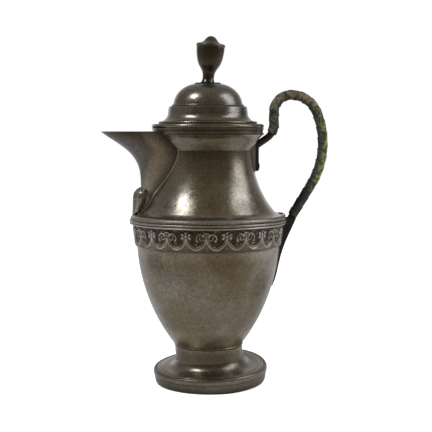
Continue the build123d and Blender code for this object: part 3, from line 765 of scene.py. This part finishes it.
# ---- foot, bent up a little at one side ------------------------------------------------------
FOOT_SHIFT = 1.9              # the foot stands this far off the bowl's axis, towards the handle,
STEM_SHIFT = 0.4              # and its stem's top this far
SHIFT_FADE = (11.0, 33.7)     # heights between which the one goes over into the other
PLATE_LEVEL = 12.0            # height of the plate where it isn't bent
RISE_FADE = (13.0, 30.0)      # heights of the stem over which its rise fades out
FOOT_RISE = 2.1               # of the plate over a flat one, at the axis
FOOT_TILT = 0.031             # and towards the back and the handle
FOOT_BACK_RISE = 2.3          # more at the plate's back,
BACK_REACH = (-12, 52)        # which grows over these depths
BACK_SPREAD = 55.0            # and doubles this far towards the handle
FOOT_EDGE_RISE = 1.5          # of its underside at the handle's side,
EDGE_REACH = (8, 46)          # which grows over these distances

PLATE_INSET = 3.2             # of the plate from the foot's outer radius
PLINTH_BACK = 5.6             # of the plinth's back from it
STEM_RADIUS = 28.6
BELL_FLARE = 7.7              # how far the stem flares out
BELL_TOP = 20.8               # height where the flare starts
BELL_DROP = 8.2               # and how far down it goes
STEM_CAP = 2.2                # thickness of the stem's closed top


def smooth(value, low, high):
    """Smooth step from 0 to 1."""
    share = np.clip((value - low) / (high - low), 0, 1)
    return share * share * (3 - 2 * share)


def bend_foot(x, y, z):
    """The real foot was knocked: its plate climbs towards the back and the handle's side."""
    level = np.clip(z / PLATE_LEVEL, 0, 1)
    plate = level * (1 - smooth(z, *RISE_FADE))
    back = FOOT_BACK_RISE * smooth(y, *BACK_REACH) * (1 + x / BACK_SPREAD)
    edge = (1 - level) * FOOT_EDGE_RISE * smooth(x, *EDGE_REACH)
    rise = plate * (FOOT_RISE + FOOT_TILT * (x + y) + back) + edge
    shift = STEM_SHIFT + (FOOT_SHIFT - STEM_SHIFT) * (1 - smooth(z, *SHIFT_FADE))
    return x + shift, y, z + rise


def make_foot(material, edge_material, bead_material):
    """Moulded edge, plate with its stem in one bell, and the fine beads, all bent alike."""
    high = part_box("foot_plinth")[1]
    edge, top = high[0] / MM, high[2] / MM
    plate_radius, back = edge - PLATE_INSET, edge - PLINTH_BACK
    plinth = [
        (back, 0.0, 0.5), (edge - 2.6, 0.0, 0.4), (edge - 1.7, 1.6, 0.45), (edge - 1.1, 3.8, 0.5),
        (edge - 0.9, 6.2, 0.55), (edge - 0.7, 6.9, 0.2), (edge - 0.35, 7.4, 0.5), (edge, 8.6, 0.7),
        (edge, 10.4, 0.7), (edge - 0.25, 11.2, 0.6), (edge - 0.75, 11.8, 0.5),
        (edge - 1.5, top - 0.05, 0.3), (plate_radius, top, 0.2), (plate_radius, top - 2.2, 0.3),
        (back, top - 2.2, 0.3),
    ]
    make_turned("foot_edge", plinth, edge_material, "pewter", "pot", "foot_plinth", bend_foot)

    stem_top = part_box("foot_stem")[1][2] / MM
    closed = stem_top - STEM_CAP
    bell = [
        (0.5, stem_top, 0.5), (29.2, stem_top, 0.6), (29.2, stem_top - 1.2, 0.5),
        (STEM_RADIUS, stem_top - 1.25, 0.2),
    ]
    bell += [(STEM_RADIUS, height, 0.5) for height in np.linspace(stem_top - 2.5, 21.6, 8)]
    for turn in np.linspace(0, 1, 22) * pi / 2:
        radius = STEM_RADIUS + BELL_FLARE * (1 - cos(turn))
        bell.append((radius, BELL_TOP - BELL_DROP * sin(turn), 0.5))
    bell += [
        (37.5, 12.55, 0.5), (40.5, 12.4, 0.5), (42.6, 12.25, 0.4), (42.9, 12.0, 0.0),
        (43.3, 12.2, 0.5), (plate_radius, 12.05, 0.4), (plate_radius, 9.8, 0.3),
        (36.0, 9.9, 0.3), (30.5, 12.5, 0.3), (26.6, 19.0, 0.3), (26.4, closed, 0.3),
        (0.5, closed, 0.3),
    ]
    make_turned("foot_bell", bell, material, "pewter", "pot", "foot_stem", bend_foot)
    make_foot_beads(bead_material)


# ---- solder line round the spout's root ------------------------------------------------------
SEAM_LOW = 144.0
SEAM_HIGH = 198.0
SEAM_POINTS = 110
SEAM_SIDES = 10
SEAM_RADIUS = 0.60
BLOB_HEIGHT = 162.0           # solder gathered over the drop
BLOB_SWELL = 1.3
BLOB_REACH = 4.0
WIDEST_ROOT = radians(80)     # angle from the beak at which only the body is left
BODY_NODES = ("upper_body", "neck_collar")
SPOUT_NODES = ("spout", "spout_bud")
RAY_START, RAY_LENGTH = 0.12, 0.09    # in metres, from outside the pot towards its axis


def make_seam(material, side):
    """Bead of solder where the spout and its drop meet the body, on one side of the pot."""
    trees = {}
    for name in SPOUT_NODES + BODY_NODES:
        mesh = NODES[name].data
        corners = [vertex.co for vertex in mesh.vertices]
        faces = [polygon.vertices for polygon in mesh.polygons]
        trees[name] = BVHTree.FromPolygons(corners, faces)

    def hit(names, angle, height):
        away = Vector((-cos(angle), side * sin(angle), 0))
        start = Vector((0, 0, height * MM)) + away * RAY_START
        places = [trees[name].ray_cast(start, -away, RAY_LENGTH)[0] for name in names]
        return max((place.xy.length for place in places if place), default=0.0)

    line = []
    for height in np.linspace(SEAM_LOW, SEAM_HIGH, SEAM_POINTS):
        inner, outer = 0.0, WIDEST_ROOT
        for _ in range(18):
            middle = (inner + outer) / 2
            if hit(SPOUT_NODES, middle, height) > hit(BODY_NODES, middle, height) + 0.1 * MM:
                inner = middle
            else:
                outer = middle
        body = hit(BODY_NODES, outer, height)
        line.append((-body * cos(outer), side * body * sin(outer), height * MM))
    line = np.array(line)
    for _ in range(6):
        line[1:-1] = (line[:-2] + line[1:-1] * 2 + line[2:]) / 4
    along = np.gradient(line, axis=0)
    along /= np.linalg.norm(along, axis=1)[:, None]
    outward = line * (1, 1, 0)
    outward /= np.linalg.norm(outward, axis=1)[:, None]
    outward -= along * np.sum(outward * along, axis=1)[:, None]
    across = np.cross(along, outward)
    swing = full_turn(SEAM_SIDES)[None, :, None]
    uneven = np.random.default_rng(11).uniform(0.7, 1.2, len(line) + 4)
    width = SEAM_RADIUS * MM * np.convolve(uneven, np.ones(5) / 5, "valid")
    width *= 1 + BLOB_SWELL * np.exp(-(((line[:, 2] / MM - BLOB_HEIGHT) / BLOB_REACH) ** 2))
    ring = np.cos(swing) * outward[:, None, :] + np.sin(swing) * across[:, None, :]
    points = (line[:, None, :] + ring * width[:, None, None]).reshape(-1, 3).tolist()
    faces = grid_faces(SEAM_POINTS, SEAM_SIDES, wrap_columns=True)
    name = f"spout_seam_{'front' if side < 0 else 'back'}"
    new_piece(name, points, faces, material, "pewter", "pot")


# ---- materials onto the pieces ---------------------------------------------------------------
BODY_STAINS = ((-26, -42, 178, 16, 1.25), (28, -40, 150, 10, 0.8), (-37, -36, 153, 3.2, 0.5))
# painted light along the bottom of the upper body, painted shade under the collar
BODY_BANDS = ((141, 149, 1.5), (198, 188, 0.66))
BOWL_STAINS = (
    (-46, -36, 109, 12, 0.64), (-40, -42, 95, 15, 0.76), (-20, -55, 100, 14, 0.9),
    (40, -38, 86, 14, 0.68), (44, -34, 104, 7, 0.85),
)
# painted reflection of the floor low on the bowl, and painted light along its top
BOWL_BANDS = ((40, 54, 1.9), (119, 106, 1.6))
# painted highlight on the stem's flare and painted light at the stem's top
FOOT_BANDS = ((14, 22, 1.8), (33, 27, 1.7))
# painted shade along the bottom of the plinth
PLINTH_BANDS = ((1, 8, 0.6),)
# painted shade along the spout's top, under the collar
SPOUT_BANDS = ((212, 203, 0.8),)
# painted shadow lines under the lid's rim and on the collar, and a painted highlight line below
# them
COLLAR_PAINTED_LINES = ((213.3, 0.5, 0.35), (210.3, 0.35, 0.45), (209.2, 0.35, 1.6))

body_pewter = pewter(
    "pewter_body", brown=1.0, roughness=0.235, pits=0.6, lathe=2.5, wax=0.20,
    stains=BODY_STAINS, bands=BODY_BANDS,
)
bowl_pewter = pewter(
    "pewter_bowl", brown=0.75, roughness=0.31, stains=BOWL_STAINS, bands=BOWL_BANDS
)
lid_pewter = pewter("pewter_lid", brown=0.7, roughness=0.24, dark=0.30, wax=0.12)
foot_pewter = pewter(
    "pewter_foot", brown=0.75, roughness=0.27, dark=0.44, lathe=2.0, bands=FOOT_BANDS
)
plinth_pewter = pewter(
    "pewter_plinth", brown=1.0, roughness=0.34, dark=0.28, rubbed=0.12, ground=0.8,
    bands=PLINTH_BANDS,
)
rim_pewter = pewter(
    "pewter_rims", brown=0.5, roughness=0.24, dark=0.22, grit=0.7, rings=COLLAR_PAINTED_LINES
)
fillet_pewter = pewter("pewter_fillet", brown=0.7, roughness=0.30, dark=0.34)
lid_rim_pewter = pewter(
    "pewter_lid_rim", brown=0.6, roughness=0.19, dark=0.20, pits=0.5, grit=0.6
)
spout_pewter = pewter(
    "pewter_spout", brown=0.5, roughness=0.31, dark=0.06, bands=SPOUT_BANDS, seam=True
)
seam_pewter = pewter("pewter_seam", brown=0.1, roughness=0.28, worn=0.35)
beads_pewter = pewter("pewter_beads", brown=0.3, roughness=0.28, worn=0.30)
ornament_pewter = pewter(
    "pewter_ornament", brown=0.5, roughness=0.36, rubbed=0.62, ground=0.84
)
edge_pewter = pewter(
    "pewter_edges", brown=0.3, roughness=0.34, worn=0.08, rubbed=0.50, ground=0.85
)
bud_pewter = pewter("pewter_drop", brown=0.6, roughness=0.22, worn=0.10, grit=0.8)
finial_pewter = pewter("pewter_finial", brown=0.9, roughness=0.24, dark=0.80, grit=1.2)
cap_pewter = pewter("pewter_cap", brown=0.8, roughness=0.26, dark=0.50, grit=1.2)
pad_pewter = pewter("pewter_pads", brown=0.2, roughness=0.35, worn=0.25)
iron = wrought_iron("handle_iron")
strip = bound_strip("handle_strip")

FINISHES = {
    "bowl": bowl_pewter,
    "bowl_top_fillet": fillet_pewter,
    "upper_body": body_pewter,
    "neck_collar": rim_pewter,
    "spout": spout_pewter,
    "handle_neck_pad": pad_pewter,
    "handle_bowl_pad": pad_pewter,
    "handle_core": iron,
    "lid_rim": lid_rim_pewter,
    "lid_bead_ring": lid_rim_pewter,
    "lid_dome": lid_pewter,
    "lid_bezel": rim_pewter,
    "finial_disc": finial_pewter,
    "finial_plug": rim_pewter,
    "finial_cup": finial_pewter,
    "finial_cap": cap_pewter,
}
for node_name, finish in FINISHES.items():
    for material_slot in NODES[node_name].material_slots:
        material_slot.link = "OBJECT"
        material_slot.material = finish

make_frieze(ornament_pewter)
make_milled_ring(edge_pewter)
make_shoulder_edge(edge_pewter)
make_foot(foot_pewter, plinth_pewter, beads_pewter)
make_bud(bud_pewter)
make_seam(seam_pewter, -1)
make_seam(seam_pewter, 1)
make_grip(strip)


# ---- studio ----------------------------------------------------------------------------------
FLOOR_HALF = 3.0
FLOOR_COLOUR = (0.80, 0.80, 0.80)
FLOOR_MIDDLE = (0.46, 0.40, 0.31)     # metal sees the floor fade to this in front of the pot,
FLOOR_FRONT = (0.27, 0.235, 0.175)    # and to this under the camera
MIDDLE_FADE = (-0.19, -0.03)          # along Y
FRONT_FADE = (-0.95, -0.30)
FLOOR_GLOW = 0.62                     # lifts the floor to white, for the camera alone


def make_floor():
    """Floor that is white to the camera and darker in front to the metal."""
    mesh = bpy.data.meshes.new("floor")
    signs = ((-1, -1), (1, -1), (1, 1), (-1, 1))
    corners = [(x * FLOOR_HALF, y * FLOOR_HALF, 0) for x, y in signs]
    mesh.from_pydata(corners, [], [(0, 1, 2, 3)])
    floor = bpy.data.objects.new("floor", mesh)
    bpy.context.scene.collection.objects.link(floor)
    material = bpy.data.materials.new("floor_white")
    tree = Tree(material)
    ray = tree.node("ShaderNodeLightPath").outputs
    here = tree.node("ShaderNodeTexCoord").outputs["Object"]
    y = tree.node("ShaderNodeSeparateXYZ", {0: here}).outputs[1]
    fade = tree.blend(tree.window(y, *MIDDLE_FADE), FLOOR_MIDDLE, FLOOR_COLOUR)
    fade = tree.blend(tree.window(y, *FRONT_FADE), FLOOR_FRONT, fade)
    colour = tree.blend(ray["Is Glossy Ray"], FLOOR_COLOUR, fade)
    paint = tree.node("ShaderNodeBsdfDiffuse", {"Color": colour}).outputs[0]
    glow = tree.node("ShaderNodeEmission", {"Color": (1, 1, 1), "Strength": FLOOR_GLOW}).outputs[0]
    none = tree.node("ShaderNodeBsdfTransparent", {"Color": (0, 0, 0)}).outputs[0]
    shares = {0: ray["Is Camera Ray"], 1: none, 2: glow}
    lift = tree.node("ShaderNodeMixShader", shares).outputs[0]
    both = tree.node("ShaderNodeAddShader", {0: paint, 1: lift}).outputs[0]
    tree.node("ShaderNodeOutputMaterial", {"Surface": both})
    mesh.materials.append(material)


ROOM_TINT = (1.0, 0.84, 0.60)
ROOM_LEVEL = 0.12             # of the studio behind the camera at the horizon,
ROOM_HIGH_LEVEL = 0.24        # over it
CEILING_LEVEL = 0.48          # and straight up
SIDE_LEVEL = 0.34
BACKDROP_HIGH_LEVEL = 0.45
AMBIENT_LEVEL = 0.75          # on everything that isn't a mirror
# where one part of the studio goes over into the next, by the height of the direction seen
BACKDROP_FADE = (0.12, 0.40)
ROOM_FADE = (0.15, 0.50)
CEILING_FADE = (0.92, 0.99)
# and by how far it points to the back, -1 to 1
SIDE_FADE = (-0.80, -0.10)
BACK_FADE = (0.72, 0.92)


def make_world():
    """White to the camera; metal sees a white backdrop, grey sides and a dim, warm room."""
    world = bpy.data.worlds.new("studio")
    bpy.context.scene.world = world
    tree = Tree(world)
    ray = tree.node("ShaderNodeLightPath").outputs
    direction = tree.node("ShaderNodeTexCoord").outputs["Generated"]
    y, z = tree.node("ShaderNodeSeparateXYZ", {0: direction}).outputs[1:]
    flat = tree.math("SUBTRACT", 1.0, tree.math("MULTIPLY", z, z))
    facing = tree.math("DIVIDE", y, tree.math("SQRT", tree.math("MAXIMUM", flat, 0.0001)))
    backdrop = tree.grey(tree.window(z, *BACKDROP_FADE, 1.0, BACKDROP_HIGH_LEVEL))
    room = tree.math(
        "ADD",
        tree.window(z, *ROOM_FADE, ROOM_LEVEL, ROOM_HIGH_LEVEL),
        tree.window(z, *CEILING_FADE, 0.0, CEILING_LEVEL - ROOM_HIGH_LEVEL),
    )
    room = tree.blend(1.0, tree.grey(room), ROOM_TINT, "MULTIPLY")
    view = tree.blend(tree.window(facing, *SIDE_FADE), room, (SIDE_LEVEL,) * 3)
    view = tree.blend(tree.window(facing, *BACK_FADE), view, backdrop)
    metal = tree.math("MAXIMUM", ray["Is Glossy Ray"], ray["Is Transmission Ray"])
    colour = tree.blend(metal, (AMBIENT_LEVEL,) * 3, view)
    colour = tree.blend(ray["Is Camera Ray"], colour, (1.0, 1.0, 1.0))
    sky = tree.node("ShaderNodeBackground", {"Color": colour, "Strength": 1.0})
    tree.node("ShaderNodeOutputWorld", {"Surface": sky.outputs[0]})


LAMP_COLOUR = (0.86, 0.97, 1.20)
LAMP_AIM = Vector((0, 0, 0.15))
LAMP_DISTANCE = 0.95


def make_lamp(name, azimuth, elevation, width, height, power):
    """Rectangular softbox; azimuth is measured from -Y towards +X."""
    turn, rise = radians(azimuth), radians(elevation)
    data = bpy.data.lights.new(name, "AREA")
    data.color = LAMP_COLOUR
    data.shape = "RECTANGLE"
    data.size, data.size_y = width, height
    data.energy = power
    lamp = bpy.data.objects.new(name, data)
    away = Vector((sin(turn) * cos(rise), -cos(turn) * cos(rise), sin(rise)))
    lamp.location = LAMP_AIM + LAMP_DISTANCE * away
    lamp.rotation_euler = (LAMP_AIM - lamp.location).to_track_quat("-Z", "Y").to_euler()
    bpy.context.scene.collection.objects.link(lamp)


make_floor()
make_world()
make_lamp("tall_softbox", azimuth=79, elevation=33, width=0.52, height=0.80, power=4.2)
make_lamp("small_softbox", azimuth=-67, elevation=51, width=0.25, height=0.29, power=4.2)


# ---- camera ----------------------------------------------------------------------------------
IMAGE = 432                   # pixels along a side of the picture
FOCAL_PIXELS = 1000
SENSOR = 36.0
CAMERA_DISTANCE = 0.840
CAMERA_HEIGHT = 0.2139
CAMERA_AZIMUTH = radians(-4.0)
CAMERA_PITCH = radians(4.93)
AXIS_OFFSET = 8.05            # pixels from the picture's middle to the pot's axis, leftwards

camera_data = bpy.data.cameras.new("camera")
camera_data.sensor_width = SENSOR
camera_data.lens = SENSOR * FOCAL_PIXELS / IMAGE
camera_data.clip_start = 0.05
camera = bpy.data.objects.new("camera", camera_data)
stand = Matrix.Translation(
    (CAMERA_DISTANCE * sin(CAMERA_AZIMUTH), -CAMERA_DISTANCE * cos(CAMERA_AZIMUTH), CAMERA_HEIGHT)
)
heading = Matrix.Rotation(CAMERA_AZIMUTH - atan(AXIS_OFFSET / FOCAL_PIXELS), 4, "Z")
tilt = Matrix.Rotation(radians(90) - CAMERA_PITCH, 4, "X")
camera.matrix_world = stand @ heading @ tilt
bpy.context.scene.collection.objects.link(camera)
bpy.context.scene.camera = camera
bpy.context.scene.view_settings.view_transform = "Standard"
